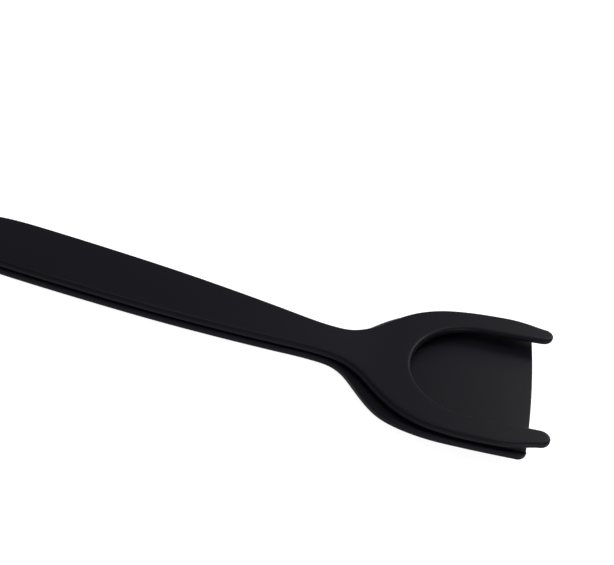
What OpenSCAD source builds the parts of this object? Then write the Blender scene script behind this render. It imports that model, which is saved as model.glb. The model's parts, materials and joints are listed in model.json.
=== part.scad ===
// Two-in-one turner tongs: a fork arm over a turner-blade arm, sprung open by a hinge at the tail.
// +X runs from the tail to the fork's tips, +Z is up, and the lower handle lies flat on Z = 0.

/* [Overall] */
// Length from the tail to the fork's tips
overall_l = 292; // [284:1:300]
// Width across the head
head_w = 88; // [84:1:92]
// Angle by which the head rises from the handle
bend_angle = 8; // [6:0.5:12]
// Height of the two closed handles
stack_h = 8.4; // [8.2:0.1:9]
// Gap between the closed arms
arm_gap = 0.6; // [0.4:0.1:0.8]

/* [Handle] */
// Width at the tail
tail_w = 24; // [23:1:26]
// Width at the middle of the grip
grip_w = 31; // [29:0.2:33]
// Width at the waist
waist_w = 20; // [18:0.5:22]
// Thickness of the upper arm's handle
upper_t = 4; // [3.8:0.1:4.2]

/* [Fork] */
// Width of the U opening
mouth_w = 62; // [58:1:64]
// Distance from the bend to the bottom of the U
mouth_x = 18.5; // [16:0.5:22]
// Thickness of the prongs at their tips
prong_t = 3; // [2.5:0.1:3.5]
// Radius of the prongs' round tips
prong_r = 4.5; // [3.5:0.1:5]

/* [Blade] */
// Distance from the bend to the blade's front edge
blade_l = 72.6; // [68:0.2:75]
// Height of the rim at the front
rim_h = 3.2; // [2.6:0.1:3.4]
// Width of the rim around the blade's tray
rim_w = 3; // [2:0.5:4]
// Thickness of the blade at its back
blade_t = 2.2; // [1.8:0.1:2.6]
// Thickness of the blade at its front edge
edge_t = 1.1; // [0.8:0.1:1.6]

/* [Hinge] */
// Distance from the tail to the pin
pin_x = 21; // [20:0.5:24]
// Diameter of the pin
pin_d = 4; // [3.6:0.1:4.2]
// Thickness of each ear
ear_t = 3.7; // [3.4:0.1:3.9]
// Largest opening angle
open_angle = 16; // [12:1:18]
// Diameter of the hanging hole
hang_d = 6; // [5:0.5:6]

/* [Spring] */
// Diameter of the spring wire
wire_d = 1.2; // [1:0.1:1.2]
// Whole turns in the coil
coil_turns = 5; // [3:1:5]
// Length of each leg
leg_l = 13; // [10:1:14]

/* [Hidden] */
nylon = "#1d1e21";
steel = "#b9bcc0";
$fn = 64;
big = 300;

// Distances along X, measured from the bend
head_l = 79;
bend_x = overall_l / 2 - head_l;
tail_end = head_l - overall_l;
hinge_x = tail_end + pin_x;

// The bend is an arc between the flat handle and the rising head
bend_r = 150;
bend_run = bend_r * tan(bend_angle / 2);
bend_end = bend_r * sin(bend_angle) - bend_run;
lower_t = stack_h - upper_t - arm_gap;

// Blade details
corner_r = 4;
front_bow = 1.2;
tray_x = 12;
tray_round = head_w / 2 - rim_w - 0.2;

// Hinge details, measured from the pin's axis
hinge_z = stack_h / 2;
ear_in = tail_w / 2 - ear_t;
side_gap = 0.3;
knuckle_r = hinge_z;
swing_gap = 0.4;
bore_gap = 0.04;
shoulder_x = knuckle_r + 1;
coil_half_w = 4.6;
window_x = 7;
heel_l = 9;
heel_t = 1.8;
heel_pocket = 10.4;
recess_r = 3.4;
recess_d = 1.5;
cap_t = 1.3;
cap_grip = 0.8;
stop_gap = 0.3;
head_r = 3.2;
hang_x = 15.6;

// Spring details
coil_r = 3;
coil_pitch = wire_d * 1.05;
leg_end_z = 0.8;
leg_reach = sqrt(coil_r * coil_r + leg_l * leg_l);
leg_tilt = asin(coil_r / leg_reach) - asin(leg_end_z / leg_reach);
coil_sweep = 180 + 2 * leg_tilt + 360 * coil_turns;
coil_y = coil_pitch * coil_sweep / 360 / 2;
groove_half = wire_d / 2 + 0.3;
groove_gap = 0.06;

// Half-widths along the handle, as [distance from the bend, half-width]: a grip of nearly even
// width, which narrows to the waist at one end and to the hinge at the other
handle_plan = [
    [tail_end, tail_w / 2], [hinge_x - 6, tail_w / 2], [hinge_x + 2, tail_w / 2],
    [hinge_x + 6, tail_w / 2 + 0.15], [hinge_x + 12, (tail_w + grip_w) / 4 + 0.6],
    [hinge_x + 19, grip_w / 2 + 0.5], [hinge_x + 32, grip_w / 2 + 1.3], [-122, grip_w / 2 + 1.1],
    [-90, grip_w / 2 + 0.1], [-61, grip_w / 2 - 1.9], [-40, waist_w / 2 + 1.6], [-28, waist_w / 2 + 0.3]
];
// The fork's shoulders spread from the waist, and the blade's start a little earlier
fork_plan = [
    [-18, waist_w / 2], [-10, waist_w / 2 + 1.3], [-2, head_w / 2 - 27.4], [6, head_w / 2 - 18.4],
    [14, head_w / 2 - 10.6], [22, head_w / 2 - 5.5], [30, head_w / 2 - 2.5], [40, head_w / 2 - 0.7],
    [51, head_w / 2], [63, head_w / 2 - 0.3], [head_l - prong_r, head_w / 2 - 3.4]
];
blade_plan = [
    [-18, waist_w / 2], [-13.5, waist_w / 2 + 0.9], [-8.5, head_w / 2 - 29.8], [-3, head_w / 2 - 23],
    [2, head_w / 2 - 16.7], [7, head_w / 2 - 11.2], [12, head_w / 2 - 7.4], [20, head_w / 2 - 4],
    [32, head_w / 2 - 1.3], [45, head_w / 2 - 0.4], [60, head_w / 2], [blade_l, head_w / 2]
];

// Smooth curve through a plan's points
function last(p) = len(p) - 1;
function slope(p, i) = let (a = max(i - 1, 0), b = min(i + 1, last(p)))
    (p[b].y - p[a].y) / (p[b].x - p[a].x);
function span(p, x, i = 0) = i == last(p) - 1 || x < p[i + 1].x ? i : span(p, x, i + 1);
function along(p, x, i, t, h) =
    (2 * t ^ 3 - 3 * t ^ 2 + 1) * p[i].y + (t ^ 3 - 2 * t ^ 2 + t) * h * slope(p, i)
    + (3 * t ^ 2 - 2 * t ^ 3) * p[i + 1].y + (t ^ 3 - t ^ 2) * h * slope(p, i + 1);
function half_width(p, x) = let (i = span(p, x), h = p[i + 1].x - p[i].x)
    along(p, x, i, (x - p[i].x) / h, h);

// Height of the underside of the lower arm
function rise(x) = x < -bend_run ? 0
    : x < bend_end ? bend_r - sqrt(bend_r ^ 2 - (x + bend_run) ^ 2)
    : x * tan(bend_angle);
function ramp(x, far) = min(max(x / far, 0), 1);
function fork_under(x) = stack_h + rise(x) - upper_t + (upper_t - prong_t) * ramp(x, head_l);
function rim_top(x) = rise(x) + lower_t + (rim_h - lower_t) * ramp(x, blade_l);
function blade_top(x) = rise(x) + blade_t + (edge_t - blade_t) * ramp(x, blade_l);

// Stations along an arm: few on the straight handle, more on the bend and the head
function stations(a, b) = [
    a,
    for (x = [-192:4:-24]) if (x > a + 1) x,
    for (x = [-20:2.5:b - 1]) if (x > a + 1) x,
    b
];

function reversed(list) = [for (i = [len(list) - 1:-1:0]) list[i]];
side_xs = [tail_end - 1, for (x = [-15:3:15]) x, head_l + 1];

// Outline of an arm from above
module outline(plan, a, b) {
    xs = stations(a, b);
    polygon([
        for (x = xs) [x, -half_width(plan, x)],
        for (x = reversed(xs)) [x, half_width(plan, x)]
    ]);
}

// What lies between two heights that change along X; the children are the outline
module layer(low, high) {
    intersection() {
        translate([0, 0, -1]) linear_extrude(height = 60) children();
        rotate([90, 0, 0]) translate([0, 0, -big / 2]) linear_extrude(height = big)
            polygon(concat(low, high));
    }
}

// Solid of a given width along Y, centred on y; its outline is measured from the pin's axis
module across(y, w) {
    translate([hinge_x, y + w / 2, hinge_z]) rotate([90, 0, 0]) linear_extrude(height = w) children();
}

// U opening of the fork: half an ellipse, then sides that flare a little
mouth_deep = 27;
mouth_flare = 0.6;
module mouth() {
    round_x = mouth_x + mouth_deep;
    polygon([
        [head_l + 10, -mouth_w / 2 - mouth_flare],
        for (a = [-90:6:90]) [round_x - mouth_deep * cos(a), mouth_w / 2 * sin(a)],
        [head_l + 10, mouth_w / 2 + mouth_flare]
    ]);
}

module fork_outline() {
    prong_y = mouth_w / 2 + mouth_flare + prong_r;
    difference() {
        union() {
            outline(concat(handle_plan, fork_plan), hinge_x + shoulder_x, head_l - prong_r);
            for (side = [-1, 1]) translate([head_l - prong_r, side * prong_y]) circle(r = prong_r);
        }
        mouth();
    }
}

// Groove for a spring leg, in the frame of the leg where it leaves the coil
module leg_groove() {
    rotate([0, leg_tilt, 0]) translate([0, -groove_half, coil_r - 6])
        cube([leg_l + 2, 2 * groove_half, 6 + wire_d / 2 + groove_gap]);
}

module upper_arm() {
    color(nylon) translate([bend_x, 0, 0]) difference() {
        union() {
            layer(
                [for (x = side_xs) [x, fork_under(x)]],
                [for (x = reversed(side_xs)) [x, stack_h + rise(x)]]
            ) fork_outline();
            tongue_w = 2 * (ear_in - side_gap);
            across(0, tongue_w) circle(r = knuckle_r);
            across(0, tongue_w) translate([0, arm_gap / 2 - 0.1])
                square([shoulder_x + 1, knuckle_r - arm_gap / 2 + 0.1]);
            across(0, tongue_w) translate([-heel_l, knuckle_r - heel_t]) square([heel_l, heel_t]);
        }
        across(0, big) circle(d = pin_d + 2 * bore_gap);
        across(0, 2 * coil_half_w) translate([-knuckle_r - swing_gap, -knuckle_r - 1])
            square([knuckle_r + swing_gap + window_x, 2 * knuckle_r + 2]);
        translate([hinge_x, coil_y, hinge_z]) leg_groove();
    }
}

// Outline of the lower arm, with its round tail and the blade's rounded front corners
module blade_outline() {
    corner_x = blade_l - front_bow - corner_r;
    corner_y = head_w / 2 - corner_r;
    outline(concat(handle_plan, blade_plan), tail_end + tail_w / 2, corner_x);
    translate([tail_end + tail_w / 2, 0]) circle(d = tail_w);
    polygon([
        [corner_x, -corner_y],
        for (t = [-1:0.125:1]) [blade_l - front_bow * t ^ 2, t * corner_y],
        [corner_x, corner_y]
    ]);
    for (side = [-1, 1]) translate([corner_x, side * corner_y]) circle(r = corner_r);
}

// Shallow tray in the blade, open at the front
module tray_outline() {
    tray_plan = [for (x = stations(tray_x, blade_l)) [x, half_width(blade_plan, x) - rim_w]];
    intersection() {
        outline(concat(tray_plan, [[blade_l + 2, head_w / 2 - rim_w]]), tray_x, blade_l + 2);
        union() {
            translate([tray_x + tray_round, 0]) circle(r = tray_round);
            translate([tray_x + tray_round, -head_w]) square([head_w, 2 * head_w]);
        }
    }
}

// Pocket behind the pin: its sloped floor is where the heel lands at full opening
module heel_pocket() {
    floor_z = (knuckle_r - heel_t - stop_gap) / cos(open_angle);
    across(0, 2 * ear_in) polygon([
        for (x = [-heel_pocket, 0]) [x, x * tan(open_angle) + floor_z],
        [0, knuckle_r + 1], [-heel_pocket, knuckle_r + 1]
    ]);
}

module lower_arm() {
    ear_y = tail_w / 2 - ear_t / 2;
    knuckle_room = knuckle_r + swing_gap;
    color(nylon) translate([bend_x, 0, 0]) difference() {
        union() {
            layer(
                [for (x = side_xs) [x, rise(x)]],
                [for (x = reversed(side_xs)) [x, rim_top(x)]]
            ) blade_outline();
            linear_extrude(height = stack_h) intersection() {
                blade_outline();
                translate([tail_end, -tail_w / 2]) square([pin_x, tail_w]);
            }
            for (side = [-1, 1]) across(side * ear_y, ear_t) circle(r = knuckle_r);
        }
        layer(
            [for (x = side_xs) [x, blade_top(x)]],
            [for (x = reversed(side_xs)) [x, stack_h + rise(x)]]
        ) tray_outline();
        across(0, big) circle(d = pin_d + 2 * bore_gap);
        for (side = [-1, 1]) across(side * tail_w / 2, 2 * recess_d) circle(r = recess_r);
        across(0, 2 * ear_in) translate([-knuckle_room, -knuckle_room])
            square(2 * knuckle_room);
        across(0, 2 * coil_half_w) translate([0, -knuckle_room])
            square([window_x, 2 * knuckle_room]);
        heel_pocket();
        translate([hinge_x, -coil_y, hinge_z]) mirror([0, 0, 1]) leg_groove();
        translate([hinge_x - hang_x, 0, -1]) cylinder(d = hang_d, h = stack_h + 2);
    }
}

// Pin along +Y, with a flat head at its near end
module hinge_pin() {
    head_y = tail_w / 2 - recess_d;
    color(steel) translate([bend_x + hinge_x, -head_y, hinge_z]) rotate([-90, 0, 0]) {
        cylinder(d = pin_d, h = 2 * head_y + cap_grip);
        translate([0, 0, -cap_t]) cylinder(r = head_r, h = cap_t);
    }
}

// Cap pushed on the pin's far end
module pin_cap() {
    head_y = tail_w / 2 - recess_d;
    color(steel) translate([bend_x + hinge_x, head_y, hinge_z]) rotate([-90, 0, 0]) difference() {
        cylinder(r = head_r, h = cap_t);
        translate([0, 0, -1]) cylinder(d = pin_d, h = 1 + cap_grip);
    }
}

// Points of the spring wire: lower leg, coil around the pin, upper leg
coil_start = leg_tilt - 90;
coil_step = 22.5;
function coil_point(a) = [
    coil_r * cos(coil_start - a), coil_y * (2 * a / coil_sweep - 1), coil_r * sin(coil_start - a)
];
coil_points = [for (i = [0:ceil(coil_sweep / coil_step)]) coil_point(min(i * coil_step, coil_sweep))];
function leg_end(p, up) = p + leg_l * [cos(leg_tilt), 0, -up * sin(leg_tilt)];
wire_points = concat(
    [leg_end(coil_points[0], -1)], coil_points, [leg_end(coil_points[last(coil_points)], 1)]
);

// Round tube along a list of points, none of whose stretches runs along Y
wire_sides = 10;
function unit(v) = v / norm(v);
function heading(p, i) = unit(p[min(i + 1, last(p))] - p[max(i - 1, 0)]);
function ring(p, i) = let (t = heading(p, i), v = unit(cross(t, [0, 1, 0])), u = cross(v, t))
    [for (k = [0:wire_sides - 1]) let (a = 360 * k / wire_sides)
        p[i] + wire_d / 2 * (cos(a) * u + sin(a) * v)];
module tube(p) {
    points = [for (i = [0:last(p)]) each ring(p, i)];
    top = last(p) * wire_sides;
    polyhedron(points, concat(
        [[for (k = [0:wire_sides - 1]) k]],
        [for (i = [0:last(p) - 1], k = [0:wire_sides - 1]) let (n = (k + 1) % wire_sides)
            [i * wire_sides + k, (i + 1) * wire_sides + k, (i + 1) * wire_sides + n, i * wire_sides + n]],
        [[for (k = [wire_sides - 1:-1:0]) top + k]]
    ));
}

module torsion_spring() {
    color(steel) translate([bend_x + hinge_x, 0, hinge_z]) tube(wire_points);
}

upper_arm();
lower_arm();
hinge_pin();
pin_cap();
torsion_spring();
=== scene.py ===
# %% [markdown]
# # A pair of two-in-one turner tongs
# The tool is two black nylon arms, one over the other. The upper arm ends in a fork with a deep mouth,
# the lower arm in a turner blade, and a sprung hinge joins their tails. The engineering model comes in
# as a fixed frame: it says where everything is and how it moves. This lesson gives every piece the
# shape and the finish of a real moulding, and never moves the frame.

# %% Load the frame
import json
import math

import bmesh
import bpy
import numpy as np
from mathutils import Matrix, Vector, geometry
from mathutils.bvhtree import BVHTree


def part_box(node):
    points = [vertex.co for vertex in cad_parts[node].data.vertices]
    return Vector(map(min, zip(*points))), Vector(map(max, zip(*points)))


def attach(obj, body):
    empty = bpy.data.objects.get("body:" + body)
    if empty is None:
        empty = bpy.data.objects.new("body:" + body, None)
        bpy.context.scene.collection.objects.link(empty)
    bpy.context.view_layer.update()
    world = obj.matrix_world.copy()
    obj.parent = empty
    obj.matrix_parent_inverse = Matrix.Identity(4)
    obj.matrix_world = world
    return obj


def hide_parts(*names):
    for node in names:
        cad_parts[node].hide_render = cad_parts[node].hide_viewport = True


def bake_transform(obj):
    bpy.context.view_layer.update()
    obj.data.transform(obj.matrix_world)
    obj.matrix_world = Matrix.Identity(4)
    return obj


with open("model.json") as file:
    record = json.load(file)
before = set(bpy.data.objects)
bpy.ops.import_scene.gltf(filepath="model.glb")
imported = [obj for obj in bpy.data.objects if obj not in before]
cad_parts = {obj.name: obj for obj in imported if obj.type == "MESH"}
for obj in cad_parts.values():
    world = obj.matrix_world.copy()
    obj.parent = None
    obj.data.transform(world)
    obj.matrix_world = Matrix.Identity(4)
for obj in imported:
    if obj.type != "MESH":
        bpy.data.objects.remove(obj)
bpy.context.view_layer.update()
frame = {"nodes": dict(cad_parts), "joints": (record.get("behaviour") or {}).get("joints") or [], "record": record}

MM = 0.001
RECORD = frame["record"]
HINGE = Vector(frame["joints"][0]["pos_m"])

# %% [markdown]
# ## The camera and the room
# The tool is looked down on from in front of its long side, with the camera rolled so that the tail
# points up to the left, as it does in a right hand. A real photographer would use a short telephoto
# lens here, because a wide one would make the near prong look larger than the far one.

# %% Camera
CAMERA_AT = Vector((50.0, -395.0, 305.7)) * MM
CAMERA_TURN, CAMERA_TILT, CAMERA_ROLL = 2.52, 34.62, 15.58
LENS_MM, SENSOR_MM = 66.1, 36.0


def camera():
    """A telephoto camera above the near side, turned and rolled by the angles above."""
    turn, tilt = math.radians(CAMERA_TURN), math.radians(CAMERA_TILT)
    back = Vector((math.sin(turn) * math.cos(tilt), -math.cos(turn) * math.cos(tilt), math.sin(tilt)))
    data = bpy.data.cameras.new("camera")
    data.lens, data.sensor_width, data.clip_start = LENS_MM, SENSOR_MM, 0.01
    eye = bpy.data.objects.new("camera", data)
    bpy.context.scene.collection.objects.link(eye)
    roll = Matrix.Rotation(math.radians(CAMERA_ROLL), 4, "Z")
    eye.matrix_world = (
        Matrix.Translation(CAMERA_AT) @ (-back).to_track_quat("-Z", "Y").to_matrix().to_4x4() @ roll
    )
    bpy.context.scene.camera = eye
    return eye


camera()
bpy.context.scene.view_settings.view_transform = "Standard"
print("camera", round(CAMERA_AT.length, 3), "m from the middle of the tool")

# %% [markdown]
# ## Measuring the frame
# The smooth pieces have to lie exactly where the engineering model's plainer ones are, so their
# sizes aren't typed in twice. A ray shot at a node tells where its skin is, the way a maker would
# touch it with calipers. Rays give the heights of the arms, the slope of the head and the outlines.

# %% Calipers
FAR = 0.5


def skin(node):
    """The faces of a frame node, laid out so that a ray finds them quickly."""
    mesh = frame["nodes"][node].data
    return BVHTree.FromPolygons([v.co for v in mesh.vertices], [p.vertices for p in mesh.polygons])


SKIN = {node: skin(node) for node in ("upper_arm", "lower_arm")}


def touch(node, start, way):
    """The point where a ray from start first meets a node."""
    place = SKIN[node].ray_cast(Vector(start), Vector(way))[0]
    if place is None:
        raise RuntimeError(f"nothing of {node} lies that way from {start}")
    return place


def top_of(node, x, y=0.0):
    """Height of a node's upper face."""
    return touch(node, (x, y, FAR), (0, 0, -1)).z


def under_of(node, x, y=0.0):
    """Height of a node's under face."""
    return touch(node, (x, y, -FAR), (0, 0, 1)).z


TAIL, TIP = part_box("lower_arm")[0].x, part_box("upper_arm")[1].x
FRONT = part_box("lower_arm")[1].x
HANDLE_X = TAIL / 2
STACK = top_of("upper_arm", HANDLE_X)
LOWER_T = top_of("lower_arm", HANDLE_X)
UPPER_T = STACK - under_of("upper_arm", HANDLE_X)
BLADE_XS = (FRONT - 30 * MM, FRONT - 10 * MM)
blade_zs = [under_of("lower_arm", x) for x in BLADE_XS]
HEAD_SLOPE = (blade_zs[1] - blade_zs[0]) / (20 * MM)
BEND_X = BLADE_XS[0] - blade_zs[0] / HEAD_SLOPE
print("handles", round(STACK / MM, 2), "mm high, upper arm", round(UPPER_T / MM, 2), "mm thick")
print("head rises", round(math.degrees(math.atan(HEAD_SLOPE)), 2), "degrees from X =", round(BEND_X, 4))

# %% [markdown]
# ## The bend and the thicknesses
# The handles lie flat and the head rises at a small angle, with a large radius between, so that the
# blade lies on the pan while the hand stays above its rim. A single function gives that rise for any
# place along the tool, and every height that follows is measured from it.

# %% The bend and the heights along the arms
BEND_R = 150 * MM
BEND_RUN = BEND_R * math.tan(math.atan(HEAD_SLOPE) / 2)
BEND_END = BEND_R * math.sin(math.atan(HEAD_SLOPE)) - BEND_RUN
PRONG_R = 4.5 * MM


def rise(x):
    """Height that the bend gives the arms, for an array of distances along X."""
    u = np.asarray(x, float) - BEND_X
    arc = BEND_R - np.sqrt(np.maximum(BEND_R**2 - (u + BEND_RUN) ** 2, 0))
    return np.where(u < -BEND_RUN, 0.0, np.where(u < BEND_END, arc, u * HEAD_SLOPE))


def wall_y(node, x, z, start=FAR):
    """Distance from the middle plane to a side wall: met from outside, or from inside if start is 0."""
    return touch(node, (x, start, z), (0, -1 if start else 1, 0)).y


NOSE_X = TIP - PRONG_R
prong_z = float(rise(NOSE_X)) + STACK - 1.5 * MM
PRONG_OUT, PRONG_IN = wall_y("upper_arm", NOSE_X, prong_z), wall_y("upper_arm", NOSE_X, prong_z, 0.0)
prong_y = (PRONG_OUT + PRONG_IN) / 2
PRONG_T = top_of("upper_arm", NOSE_X, prong_y) - under_of("upper_arm", NOSE_X, prong_y)
RIM_IN = 1.5 * MM
rim_x = FRONT - 12 * MM
blade_w = wall_y("lower_arm", rim_x, float(rise(rim_x)) + MM)
RIM_H = top_of("lower_arm", rim_x, blade_w - RIM_IN) - float(rise(rim_x))
FLOOR_XS = (FRONT - 40 * MM, FRONT - 3 * MM)
FLOOR_TS = [top_of("lower_arm", x) - float(rise(x)) for x in FLOOR_XS]
print("prongs", round(PRONG_T / MM, 2), "mm thick,", round((PRONG_OUT - PRONG_IN) / MM, 2), "mm wide")
print("blade", [round(t / MM, 2) for t in FLOOR_TS], "mm thick")
print("its rim", round(RIM_H / MM, 2), "mm high")

# %% [markdown]
# ## The outlines from above
# Both arms share one handle outline, and differ at the head. The frame's outline is a run of short
# straight stretches, good enough for an engineer but not for the eye. Touching the side wall every
# millimetre and averaging each point with its neighbours gives a flowing curve, which stays within
# a few hundredths of a millimetre of the frame.

# %% Curves and averages
STEP = 1.0 * MM
BLUR = 1.6


def ease(t):
    """0 below 0, 1 above 1 and a smooth S between."""
    t = np.clip(t, 0, 1)
    return t * t * (3 - 2 * t)


def flowing(values, blur=BLUR):
    """Averages a run of values with a bell curve; past each end it carries on along the same slope."""
    n = int(4 * blur)
    bell = np.exp(-0.5 * (np.arange(-n, n + 1) / blur) ** 2)
    before = 2 * values[0] - values[n:0:-1]
    after = 2 * values[-1] - values[-2 : -n - 2 : -1]
    return np.convolve(np.concatenate([before, values, after]), bell / bell.sum(), "valid")


def side_of(node, a, b, height, extra=()):
    """Points along one side wall of an arm, from X = a to X = b, and at the extra places between."""
    xs = np.linspace(a, b, max(int((b - a) / STEP), 2) + 1)
    ys = flowing(np.array([wall_y(node, x, float(rise(x)) + height) for x in xs]))
    every = np.unique(np.concatenate([xs, [x for x in extra if a < x < b]]))
    return np.column_stack([every, np.interp(every, xs, ys)])


def arc(cx, cy, r, a, b, steps=10):
    """Points on a circle from angle a to angle b, in degrees."""
    t = np.radians(np.linspace(a, b, steps + 1))
    return np.column_stack([cx + r * np.cos(t), cy + r * np.sin(t)])


print("outlines are touched every", STEP / MM, "mm")


# %% Runs of points and closed loops
SPARSE, DOUBLED, EASINGS = 1.3 * STEP, 0.02 * MM, 6


def run(points, round_top, round_under):
    """Points of an outline, with how far its top and its under edge are rounded there."""
    points = np.asarray(points, float)
    return np.column_stack([points, np.full(len(points), round_top), np.full(len(points), round_under)])


def closed(rows, hole=False):
    """One closed loop: points are added where they are sparse, and one rounding eases into the next."""
    out = []
    for p, q in zip(rows, np.roll(rows, -1, axis=0)):
        n = max(int(np.ceil(np.linalg.norm(q[:2] - p[:2]) / SPARSE)), 1)
        out += [p + (q - p) * k / n for k in range(n)]
    rows = np.array(out)
    gap = np.linalg.norm(rows[:, :2] - np.roll(rows[:, :2], -1, axis=0), axis=1)
    rows = rows[gap > DOUBLED]
    x, y = rows[:, 0], rows[:, 1]
    area = np.sum(x * np.roll(y, -1) - np.roll(x, -1) * y)
    if (area < 0) != hole:
        rows = rows[::-1]
    for _ in range(EASINGS):
        before, after = np.roll(rows[:, 2:], 1, axis=0), np.roll(rows[:, 2:], -1, axis=0)
        rows[:, 2:] = (before + rows[:, 2:] + after) / 3
    return rows


def both_sides(*runs):
    """Closes runs of points on the +Y side, from tail to head, with their mirror image."""
    half = np.concatenate(runs)
    return closed(np.concatenate([half, half[::-1] * (1, -1, 1, 1)]))


print("loops have a point at least every", round(SPARSE / MM, 2), "mm")


# %% [markdown]
# ## A moulded slab
# Everything moulded here is a flat slab with soft edges, whose two faces rise and dip along the tool.
# A bevel modifier would stumble where roundings of different sizes meet, so the slab is knitted:
# rings of points climb round the edge, each a little further in, and the two faces are filled with
# triangles that know about the outline. The heights come last, from two functions, so the same slab
# makes the fork, the blade and the blocks of the hinge.

# %% Inside and outside of a loop
ROUNDS = 6
MESH_STEP = 2.4 * MM
WELD, CUT_WELD = 0.002 * MM, 0.003 * MM


def inward(loop):
    """Unit vectors that point from each point of a loop into the material."""
    ahead = np.roll(loop[:, :2], -1, axis=0) - np.roll(loop[:, :2], 1, axis=0)
    ahead /= np.linalg.norm(ahead, axis=1)[:, None]
    return np.column_stack([-ahead[:, 1], ahead[:, 0]])


def within(points, loops):
    """Which points lie in the material: crossed by an odd number of loop edges on their left."""
    odd = np.zeros(len(points), bool)
    for loop in loops:
        for (ax, ay), (bx, by) in zip(loop, np.roll(loop, -1, axis=0)):
            if ay != by:
                cuts = (points[:, 1] > min(ay, by)) & (points[:, 1] <= max(ay, by))
                odd ^= cuts & (ax + (points[:, 1] - ay) * (bx - ax) / (by - ay) < points[:, 0])
    return odd


print("edges are rounded in", ROUNDS, "steps")


# %% Filling a face with triangles
def fill(loops, lines, step=MESH_STEP):
    """Triangles that fill the space between loops; gives all points, loops first, and the triangles."""
    everything = [*loops, *lines]
    points = np.concatenate(everything)
    edges, first = [], 0
    for i, p in enumerate(everything):
        n = len(p)
        edges += [(first + k, first + (k + 1) % n) for k in range(n if i < len(loops) else n - 1)]
        first += n
    lo, hi = points.min(0), points.max(0)
    xs, ys = np.arange(lo[0], hi[0], step), np.arange(lo[1], hi[1], step * 0.87)
    grid = np.array([(x + step / 2 * (j % 2), y) for j, y in enumerate(ys) for x in xs])
    grid = grid[within(grid, loops)]
    near = [np.min(np.sum((points - g) ** 2, axis=1)) for g in grid]
    grid = grid[np.array(near) > (0.55 * step) ** 2] if len(grid) else grid.reshape(0, 2)
    seeds = [Vector(p) for p in np.concatenate([points, grid])]
    out, _, faces, origin, _, _ = geometry.delaunay_2d_cdt(seeds, edges, [], 0, 1e-8)
    number = {src: k for k, sources in enumerate(origin) for src in sources}
    flat = np.array([(p.x, p.y) for p in out])
    middles = np.array([flat[list(f)].mean(0) for f in faces])
    faces = [f for f, inside in zip(faces, within(middles, loops)) if inside]
    return flat, faces, [number[k] for k in range(sum(len(p) for p in loops))]


print("faces are filled every", round(MESH_STEP / MM, 1), "mm")


# %% A piece, and the slab itself
def piece(name, mesh):
    """A tidy object: doubled points joined, faces outward, smooth."""
    bm = bmesh.new()
    bm.from_mesh(mesh)
    bmesh.ops.remove_doubles(bm, verts=bm.verts, dist=WELD)
    bmesh.ops.recalc_face_normals(bm, faces=bm.faces)
    bm.to_mesh(mesh)
    bm.free()
    mesh.shade_smooth()
    thing = bpy.data.objects.new(name, mesh)
    bpy.context.scene.collection.objects.link(thing)
    return thing


def slab(name, loops, top, under, lines=()):
    """A closed mesh between two heights, top(x, y) and under(x, y), with its edges rounded."""
    points, faces = [], []
    flat_rings = {"top": [], "under": []}
    for loop in loops:
        p, into = loop[:, :2], inward(loop)
        deep = top(*p.T) - under(*p.T)
        squeeze = np.minimum(1, 0.9 * deep / (loop[:, 2] + loop[:, 3]))
        rings = []
        for face, column, turns in (("under", 3, range(ROUNDS, -1, -1)), ("top", 2, range(ROUNDS + 1))):
            r = loop[:, column] * squeeze
            for k in turns:
                a = math.pi / 2 * k / ROUNDS
                q = p + into * (r * (1 - math.cos(a)))[:, None]
                drop = r * (1 - math.sin(a))
                z = top(*q.T) - drop if face == "top" else under(*q.T) + drop
                rings.append(range(len(points), len(points) + len(q)))
                points += np.column_stack([q, z]).tolist()
                if k == ROUNDS:
                    flat_rings[face].append((q, rings[-1]))
        n = len(p)
        for a, b in zip(rings, rings[1:]):
            faces += [(a[k], a[(k + 1) % n], b[(k + 1) % n], b[k]) for k in range(n)]
    for face, height in (("top", top), ("under", under)):
        flat, triangles, ring_places = fill(
            [q for q, _ in flat_rings[face]], lines if face == "top" else ()
        )
        numbers = [k for _, ring in flat_rings[face] for k in ring]
        known = dict(zip(ring_places, numbers))
        heights = height(*flat.T)
        for k, (x, y) in enumerate(flat):
            if k not in known:
                known[k] = len(points)
                points.append((x, y, heights[k]))
        faces += [tuple(known[k] for k in t) for t in triangles]
    mesh = bpy.data.meshes.new(name)
    mesh.from_pydata(points, [], faces)
    return piece(name, mesh)


print("a slab's edges are", 2 * ROUNDS + 2, "rings of points")

# %% [markdown]
# ## Cutting and joining
# Bores, pockets and knuckles are made as a toolmaker would, by sinking a tool into the block. Blender's
# exact Boolean does it, and since the tool isn't wanted afterwards, the result is kept as a plain mesh.
# A cut can leave points a few thousandths of a millimetre apart, so they are welded at once.

# %% Joining and cutting
def drop_fins(bm):
    """Takes out pairs of faces that lie back to back on the same corners, which a cut may leave."""
    on_corners = {}
    for face in bm.faces:
        on_corners.setdefault(frozenset(v.index for v in face.verts), []).append(face)
    fins = [face for faces in on_corners.values() if len(faces) > 1 for face in faces]
    bmesh.ops.delete(bm, geom=fins, context="FACES_ONLY")
    loose = [edge for edge in bm.edges if not edge.link_faces]
    bmesh.ops.delete(bm, geom=loose, context="EDGES")
    bmesh.ops.delete(bm, geom=[v for v in bm.verts if not v.link_edges], context="VERTS")


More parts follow.
